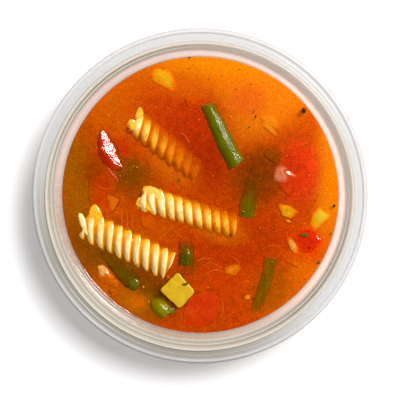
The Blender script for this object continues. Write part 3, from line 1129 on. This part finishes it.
# ---- sunk pieces
onion_mat = veg_material("sunk_onion", (255, 196, 110), (250, 174, 80), blur=(0.3, 1.0), clarity=1.5, scale=0.5, rough=0.4)
yellow_mat = veg_material("sunk_courgette", (252, 206, 40), (246, 180, 20), blur=(0.45, 1.0), clarity=1.7, scale=0.5, rough=0.4, lit=0.6,
                          absorb=(0.03, 0.24, 1.2))
red_mat = veg_material("sunk_tomato", (224, 62, 10), (206, 44, 6), blur=(0.15, 1.0), clarity=1.5, scale=0.3, rough=0.4,
                       absorb=(0.05, 0.20, 1.2))
orange_mat = veg_material("sunk_carrot", (240, 126, 10), (228, 104, 4), blur=(0.15, 1.0), clarity=1.4, scale=0.4, rough=0.4,
                          absorb=(0.03, 0.16, 1.0))
SUNK = [
    # name, outline, top, thickness, material, slot, extras
    ("sunk_red_left", [(88, 172), (108, 170), (115, 190), (112, 214), (98, 216), (86, 200)], -1.7, 6, red_mat, "tomato", {}),
    ("sunk_carrot_mid", [(138, 216), (150, 213), (160, 220), (154, 231), (141, 229)], -1.6, 5, orange_mat, "carrot", {}),
    ("sunk_soft_low", [(125, 300), (136, 292), (150, 297), (147, 310), (132, 314)], -1.5, 5, orange_mat, "carrot", {}),
    ("sunk_yellow_top", [(151, 67), (163, 67), (173, 72), (178, 86), (172, 93), (160, 86), (151, 82)], -0.8, 5, yellow_mat, "courgette", {"tilt": (0.05, 0.05)}),
    ("sunk_onion_up", [(258, 117), (272, 113), (281.5, 123), (279, 131), (268, 128)], -1.3, 3, onion_mat, "courgette", {"sharp": 0.12}),
    ("sunk_onion_strip", [(262, 121), (268, 123), (281, 136), (276, 138.5), (262, 127)], -1.2, 2, onion_mat, "courgette", {}),
    ("sunk_courgette_a", [(277, 203), (289.5, 205), (300.5, 212), (291.6, 220.5), (281, 217)], -0.9, 4, yellow_mat, "courgette", {"sharp": 0.10}),
    ("sunk_courgette_a2", [(283, 218), (292, 221), (292, 224), (286, 223)], -0.9, 2, yellow_mat, "courgette", {}),
    ("sunk_courgette_b", [(319.5, 205.0), (333.0, 215.8), (315.2, 232.6), (308.6, 224.4), (311, 214)], -0.55, 5, yellow_mat, "courgette", {"sharp": 0.08, "tilt": (0.035, 0.0)}),
    ("sunk_onion_right", [(286, 236), (292, 236.4), (299, 247), (300, 255), (294, 256), (287, 247)], -0.7, 2.6, onion_mat, "courgette", {"sharp": 0.2}),
    ("sunk_carrot_right", [(283, 259), (292, 258), (300.6, 264), (300, 270), (289, 265)], -0.8, 3, orange_mat, "carrot", {}),
    ("sunk_onion_low", [(224, 267), (238, 263), (243, 269), (236, 278), (223, 275)], -1.3, 2.4, onion_mat, "courgette", {"sharp": 0.12}),
    ("sunk_onion_drop", [(242, 298), (247, 294.4), (252, 296), (250.6, 301), (245, 302.4)], -1.0, 2, onion_mat, "courgette", {}),
    ("sunk_tomato_right", [(300, 140), (316, 148), (319, 172), (312, 194), (298, 204), (286, 196), (290, 160)], -2.6, 4, red_mat, "tomato", {}),
    ("sunk_tomato_left", [(112, 134), (124, 138), (132, 150), (130, 160), (120, 160), (116, 146)], -1.1, 4, red_mat, "tomato", {}),
    ("sunk_carrot_top", [(184, 96), (196, 92), (204, 100), (196, 110), (186, 108)], -2.4, 4, orange_mat, "carrot", {}),
]
for k, (name, outline, top, thick, mat, slot, extra) in enumerate(SUNK):
    args = {"edge": 0.5, "wide": 2.4, "crown": 0.5, "sharp": 0.2, "seed": 20.0 + k, "rounds": 3, "rough": 0.07,
            "flare": -0.25}
    args.update(extra)
    finish_piece(sunk(slab(name, outline, top, thick, mat, **args)))


# ---- strings of onion, a curl of herb and a tail of skin at the surface
def strand(name, path, width, mat, z=LEVEL - 0.1, squash=0.6):
    line = smooth_chain([px(x, y, z) for x, y in path], 6)
    count, rings = 10, []
    for i, p in enumerate(line):
        t = (line[min(i + 1, len(line) - 1)] - line[max(i - 1, 0)]).normalized()
        side = Vector((0, 0, 1)).cross(t).normalized()
        f = i / (len(line) - 1)
        r = width / 2 * (0.35 + 0.65 * math.sin(math.pi * min(1, max(0, f))) ** 0.5)
        rings.append([tuple(p + side * (r * math.cos(math.tau * j / count))
                            + Vector((0, 0, 1)) * (r * squash * math.sin(math.tau * j / count)))
                      for j in range(count)])
    return finish_piece(sunk(rings_mesh(name, rings, mat)))


string_mat = veg_material("string_fine", (246, 150, 70), (236, 120, 40), clarity=1.2, scale=1.5, rough=0.3,
                          film=0.1, absorb=(0.02, 0.2, 1.0), sss=0.0)
herb_mat = veg_material("herb_fine", (104, 96, 10), (72, 76, 8), clarity=2.0, scale=1.5, rough=0.3, sss=0.0)
tail_mat = veg_material("skin_fine", (240, 70, 14), (220, 50, 10), clarity=2.0, scale=1.5, rough=0.2, sss=0.0)
STRINGS = [
    [(121, 213), (121.6, 222), (121, 233)], [(126.4, 211), (127.2, 220), (127, 235)], [(132, 216), (131.6, 224), (132.4, 231)],
    [(158, 241), (165, 234), (173, 227)], [(203, 267), (211, 263.4), (223, 269)], [(206, 274), (216, 270.4), (227, 274)],
    [(196, 262), (204, 259), (214, 260)], [(230, 256), (238, 262), (240, 272)], [(180, 132), (186, 137), (190, 144)],
    [(98, 186), (104, 189), (112, 188)], [(262, 250), (270, 246), (280, 247)], [(222, 300), (223, 308), (222, 316)],
]
for k, path in enumerate(STRINGS):
    strand("string_%02d" % (k + 1), path, 0.30, string_mat, z=LEVEL - 0.75)
strand("herb_curl", [(126.6, 266), (130, 269), (135, 267.4), (137.6, 263), (135, 261)], 0.36, herb_mat, z=LEVEL + 0.05)
strand("tomato_1_tail", [(108, 168), (111, 173), (114.6, 177), (117.8, 182.6)], 0.62, tail_mat, z=LEVEL - 0.05)


# ------------------------------------------------------------------ the skin
def broth_skin(pieces):
    """The wet surface, drawn up where it meets the wall and the food."""
    trees = []
    for piece in pieces:
        mesh = piece.data
        co = [v.co * 1000 for v in mesh.vertices]
        near = set(i for i, v in enumerate(co) if v.z > LEVEL - 0.8)
        if not any(v.z > LEVEL + 0.15 for v in co):
            continue
        polys = [tuple(p.vertices) for p in mesh.polygons if all(v in near for v in p.vertices)]
        if polys:
            trees.append(BVHTree.FromPolygons(co, polys))
    steps = 560
    radii = list(np.linspace(0.4, 46.2, 140)) + list(np.linspace(46.35, SOUP_R + 0.12, 30))
    verts, faces = [], []
    for r in radii:
        for j in range(steps):
            a = math.tau * j / steps
            x, y = r * math.cos(a), r * math.sin(a)
            wall = SOUP_R + 0.12 - r
            climb = 0.56 + 0.05 * noise.noise(Vector((x * 0.6, y * 0.6, 1.0)))
            z = LEVEL + climb * math.exp(-wall / 0.66)
            z += 0.018 * noise.noise(Vector((x * 0.25, y * 0.25, 4.0)))
            z += 0.010 * noise.noise(Vector((x * 1.4, y * 1.4, 9.0)))
            verts.append((x, y, z))
    for k, v in enumerate(verts):
        best = 3.0
        point = Vector((v[0], v[1], LEVEL + 0.1))
        for tree in trees:
            hit = tree.find_nearest(point, best)
            if hit[0] is not None and hit[3] < best:
                best = hit[3]
        if best < 3.0:
            verts[k] = (v[0], v[1], v[2] + 0.32 * math.exp(-best / 0.45))
    m = steps
    for i in range(len(radii) - 1):
        for j in range(m):
            k = (j + 1) % m
            faces.append((i * m + k, i * m + j, (i + 1) * m + j, (i + 1) * m + k))
    verts.append((0, 0, LEVEL))
    for j in range(m):
        faces.append((j, (j + 1) % m, len(verts) - 1))
    obj = mesh_object("broth_skin", verts, faces, skin_material())
    return finish_piece(obj)


broth_skin(above)


# ------------------------------------------------------- specks, oil and herbs
def speck_material(name, a, b, rough=0.5, shine=0.08):
    n = Nodes(name)
    own = n.mix(n.noise(2.5, 2.0), tone(*a), tone(*b))
    sh = n.principled(Base_Color=own, Roughness=rough, Specular_IOR_Level=shine,
                      Normal=n.bump(n.noise(5.0, 2.0), 0.00005, 0.4))
    return n.done(sh.outputs[0])


def fleck(x, y, a, b=None, h=None, turn=None, jag=0.5, z=0.0):
    """One grain at a place in the photograph's frame, sizes in its pixels."""
    p = px(x, y)
    a *= 0.3536 / 2
    b = a if b is None else b * 0.3536 / 2
    return (p[0], p[1], LEVEL + z, a, b, min(a, b) * 0.55 if h is None else h,
            rng.uniform(0, 6.28) if turn is None else math.radians(turn), jag, rng.uniform(0, 99))


DARK = [(189.5, 58, 2.2), (164, 69, 1.5), (190, 69, 1.6), (209, 79, 1.6), (236, 90, 1.6), (251, 84.7, 1.4), (255.5, 116.7, 2.6),
        (224, 210, 1.5), (230, 235, 2.4), (224, 195, 1.6), (334, 206, 3.2), (267.4, 212, 1.8), (315.3, 200.4, 1.8),
        (309.3, 248, 2.4), (253.3, 299.6, 1.8), (205.6, 298.5, 1.6), (97.5, 236, 2.0), (277, 196, 1.2), (148, 250, 1.2),
        (120, 108, 1.2), (240, 70, 1.3), (300, 92, 1.2), (322, 150, 1.2), (150, 104, 1.1), (305, 280, 1.2), (226, 306, 1.3),
        (166, 208, 1.1), (212, 118, 1.1), (86, 166, 1.2), (196, 228, 1.2), (262, 250, 1.2), (214, 250, 1.0)]
flecks = [fleck(x, y, s, s * rng.uniform(0.7, 1.0)) for x, y, s in DARK]
flecks += [fleck(303.8, 110.6, 4.2, 5.4, turn=10, jag=0.3)]
finish_piece(join_flecks("pepper_specks", flecks, speck_material("speck_dark", (96, 54, 6), (54, 28, 6))))

OLIVE = [(254, 111.7, 3.2, 1.6, 30), (249, 127.5, 3.8, 1.8, 25), (306, 144.7, 1.8, 2.6, 0), (310.4, 116.3, 1.4, 1.2, 0),
         (142, 78, 1.6, 1.2, 0), (97.3, 135.7, 1.6, 1.4, 0), (95.3, 146.4, 2.4, 2.6, 0), (179, 181, 2.6, 4.4, 20), (190, 147, 2.4, 1.4, 40),
         (264.6, 232.8, 2.6, 1.8, 20), (330.8, 234, 2.4, 1.8, 30), (318.8, 262.8, 3.2, 2.8, 0), (185.2, 284.4, 6.4, 3.0, 12),
         (303.8, 235.2, 7.6, 4.6, -6), (135, 120, 1.8, 1.0, 30), (244, 262, 2.0, 1.2, 70), (290, 134, 2.0, 1.0, 110),
         (210, 214, 1.6, 1.0, 0), (156, 284, 1.8, 1.2, 30), (128, 196, 2.0, 1.2, 60), (222, 76, 1.6, 1.0, 20)]
flecks = [fleck(x, y, a, b, turn=t, jag=0.55, h=0.10, z=0.06) for x, y, a, b, t in OLIVE]
flecks[12] = (*flecks[12][:2], LEVEL + 1.22, *flecks[12][3:])
finish_piece(join_flecks("herb_flecks", flecks, speck_material("speck_herb", (128, 106, 12), (92, 84, 12))))

RED = [(167.4, 277.6, 5.0, 4.2), (186, 273, 1.8, 1.6), (111, 292, 5.0, 3.4), (226, 108, 1.6, 1.4), (292, 262, 1.6, 1.2)]
finish_piece(join_flecks("tomato_flecks", [fleck(x, y, a, b) for x, y, a, b in RED],
                         speck_material("speck_red", (226, 70, 6), (200, 90, 4))))

YELLOW = [(133.5, 166, 1.8), (136.7, 167.3, 2.0), (143, 287.5, 2.6), (148.6, 302.4, 1.6), (243.4, 211.6, 2.2), (256.5, 206.6, 1.6),
          (172, 148, 1.4), (206, 96, 1.3), (231, 117, 1.8), (176, 254, 1.4), (208, 288, 1.6), (109, 296, 1.8), (309, 176, 2.0),
          (287, 156, 1.6), (260, 228, 1.4), (118, 122, 1.4), (199, 120, 1.3), (213, 176, 1.4), (272, 262, 1.6), (247, 282, 1.6),
          (120, 176, 1.5), (128, 228, 1.4), (304, 224, 1.8), (170, 302, 1.6)]
flecks = [fleck(x, y, s * 0.9, s * 0.7, jag=0.3) for x, y, s in YELLOW]
flecks += [fleck(148.6, 302.4, 1.2, 4.2, turn=4, jag=0.2)]
finish_piece(join_flecks("yellow_flecks", flecks, speck_material("speck_yellow", (240, 180, 30), (222, 140, 10), 0.35, 0.2)))


def scatter(count, size, keep=46.8, z=(-0.02, 0.05)):
    out = []
    while len(out) < count:
        r, a = keep * math.sqrt(rng.uniform(0, 1)), rng.uniform(0, math.tau)
        x, y = r * math.cos(a), r * math.sin(a)
        s = rng.uniform(*size) * (0.7 + 0.6 * rng.random() ** 3)
        out.append((x, y, LEVEL + rng.uniform(*z), s / 2, s / 2 * rng.uniform(0.7, 1.0), s * 0.25,
                    rng.uniform(0, 6.28), 0.3, rng.uniform(0, 99)))
    return out


def drop_material(name, lift, add):
    """Oil and pulp in the broth: its own colour, lighter or darker."""
    n = Nodes(name)
    broth = n.attr("broth").outputs["Color"]
    own = n.mix(1.0, n.mix(1.0, broth, lift, "MULTIPLY"), add, "ADD")
    own = n.mix(n.noise(1.5, 2.0), own, n.mix(1.0, own, (0.85, 0.8, 0.8), "MULTIPLY"))
    sh = n.principled(Base_Color=own, Roughness=0.5, Specular_IOR_Level=0.0, Normal=lean_up(n, 0.7))
    return n.done(sh.outputs[0])


finish_piece(join_flecks("oil_drops", scatter(1500, (0.28, 0.5)),
                         drop_material("oil_drop", (1.30, 1.6, 1.5), (0.05, 0.026, 0.001))))
finish_piece(join_flecks("pulp_grains", scatter(700, (0.26, 0.42)),
                         drop_material("pulp_grain", (0.78, 0.6, 0.5), (0.0, 0.0, 0.0))))

# ----------------------------------------------------------- floor and light
floor_mat = Nodes("floor_white")
soft = floor_mat.noise(0.02, 2.0)
floor_mat.done(floor_mat.principled(
    Base_Color=floor_mat.mix(soft, srgb(246, 246, 246), srgb(250, 250, 250)),
    Roughness=0.9, Specular_IOR_Level=0.0).outputs[0])
floor = mesh_object("floor", [(-2500, -2500, 0), (2500, -2500, 0), (2500, 2500, 0), (-2500, 2500, 0)],
                    [(0, 1, 2, 3)], floor_mat.mat, smooth=False)


def area_light(name, azimuth, zenith, distance, width, height, strength, look=True):
    """strength: how bright a white surface facing up is under it."""
    az, ze = math.radians(azimuth), math.radians(zenith)
    at = Vector((math.sin(ze) * math.cos(az), math.sin(ze) * math.sin(az), math.cos(ze))) * distance
    at += Vector((0, 0, LEVEL * MM))
    data = bpy.data.lights.new(name, "AREA")
    data.shape = "RECTANGLE"
    data.size, data.size_y = width, height
    data.energy = strength * math.pi ** 2 * distance ** 2 / math.cos(ze)
    lamp = bpy.data.objects.new(name, data)
    bpy.context.scene.collection.objects.link(lamp)
    lamp.location = at
    lamp.rotation_euler = (Vector((0, 0, LEVEL * MM)) - at).to_track_quat("-Z", "Y").to_euler()
    lamp.visible_glossy = look
    return lamp


def light_group(name, obj, state):
    """A light's list of what it lights or what shades it, with one thing set apart."""
    group = bpy.data.collections.new(name)
    group.objects.link(obj)
    group.collection_objects[0].light_linking.link_state = state
    return group


# The softbox lights the food from the upper right. The milky tub spreads its light
# rather than shading the broth, and the sheet underneath has a lamp of its own.
softbox = area_light("softbox", 44, 52, 1.0, 0.42, 0.26, 0.80)
softbox.light_linking.receiver_collection = light_group("softbox_lights", floor, "EXCLUDE")
softbox.light_linking.blocker_collection = light_group("softbox_shades", tub_piece, "EXCLUDE")
area_light("top_light", 50, 12, 1.5, 0.18, 0.18, 0.45, look=False)
sheet_light = area_light("sheet_light", 50, 13, 1.5, 0.22, 0.22, 0.42, look=False)
sheet_fill = area_light("sheet_fill", 228, 28, 1.5, 0.6, 0.6, 0.07, look=False)
sheet_fill.light_linking.receiver_collection = light_group("sheet_fills", floor, "INCLUDE")
sheet_light.light_linking.receiver_collection = light_group("sheet_lights", floor, "INCLUDE")

world = bpy.data.worlds.new("studio")
bpy.context.scene.world = world
world.use_nodes = True
wt = world.node_tree
wt.nodes.clear()
out = wt.nodes.new("ShaderNodeOutputWorld")
bg = wt.nodes.new("ShaderNodeBackground")
coord = wt.nodes.new("ShaderNodeTexCoord")
sep = wt.nodes.new("ShaderNodeSeparateXYZ")
ramp = wt.nodes.new("ShaderNodeValToRGB")
# bright round the horizon, and dark straight above, as behind a camera on a boom
e = ramp.color_ramp.elements
e[0].position, e[0].color = 0.50, (1.0, 1.0, 1.0, 1)
e[1].position, e[1].color = 0.60, (0.46, 0.46, 0.46, 1)
for at, v in ((0.93, 0.44), (0.985, 0.04)):
    el = e.new(at)
    el.color = (v, v, v, 1)
half = wt.nodes.new("ShaderNodeMath")
half.operation = "MULTIPLY_ADD"
half.inputs[1].default_value = 0.5
half.inputs[2].default_value = 0.5
wt.links.new(coord.outputs["Generated"], sep.inputs[0])
wt.links.new(sep.outputs[2], half.inputs[0])
wt.links.new(half.outputs[0], ramp.inputs[0])
wt.links.new(ramp.outputs[0], bg.inputs["Color"])
bg.inputs["Strength"].default_value = 1.0
wt.links.new(bg.outputs[0], out.inputs["Surface"])
world.cycles_visibility.glossy = False

# ------------------------------------------------------------------- camera
camera = bpy.data.cameras.new("camera")
camera.sensor_width = 36.0
cam = bpy.data.objects.new("camera", camera)
bpy.context.scene.collection.objects.link(cam)
DIST = 0.70
aim = Vector((0.17 * MM, -1.04 * MM, 76 * MM))
tilt_y, tilt_x = math.radians(3.0), math.radians(1.0)
cam.location = aim + Vector((math.tan(tilt_x), math.tan(tilt_y), 1.0)).normalized() * DIST
view = (aim - cam.location).normalized()
right = Vector((1, 0, 0))
right = (right - view * right.dot(view)).normalized()
upward = right.cross(view)
cam.rotation_euler = Matrix((right, upward, -view)).transposed().to_euler()
camera.lens = 36.0 * DIST / (400 * 0.3476 * MM)
camera.clip_start = 0.01
camera.dof.use_dof = False
bpy.context.scene.camera = cam

scene = bpy.context.scene
scene.view_settings.view_transform = "Standard"
scene.view_settings.look = "None"
scene.cycles.use_denoising = True
scene.cycles.max_bounces = 10
scene.cycles.transmission_bounces = 8
scene.cycles.transparent_max_bounces = 24
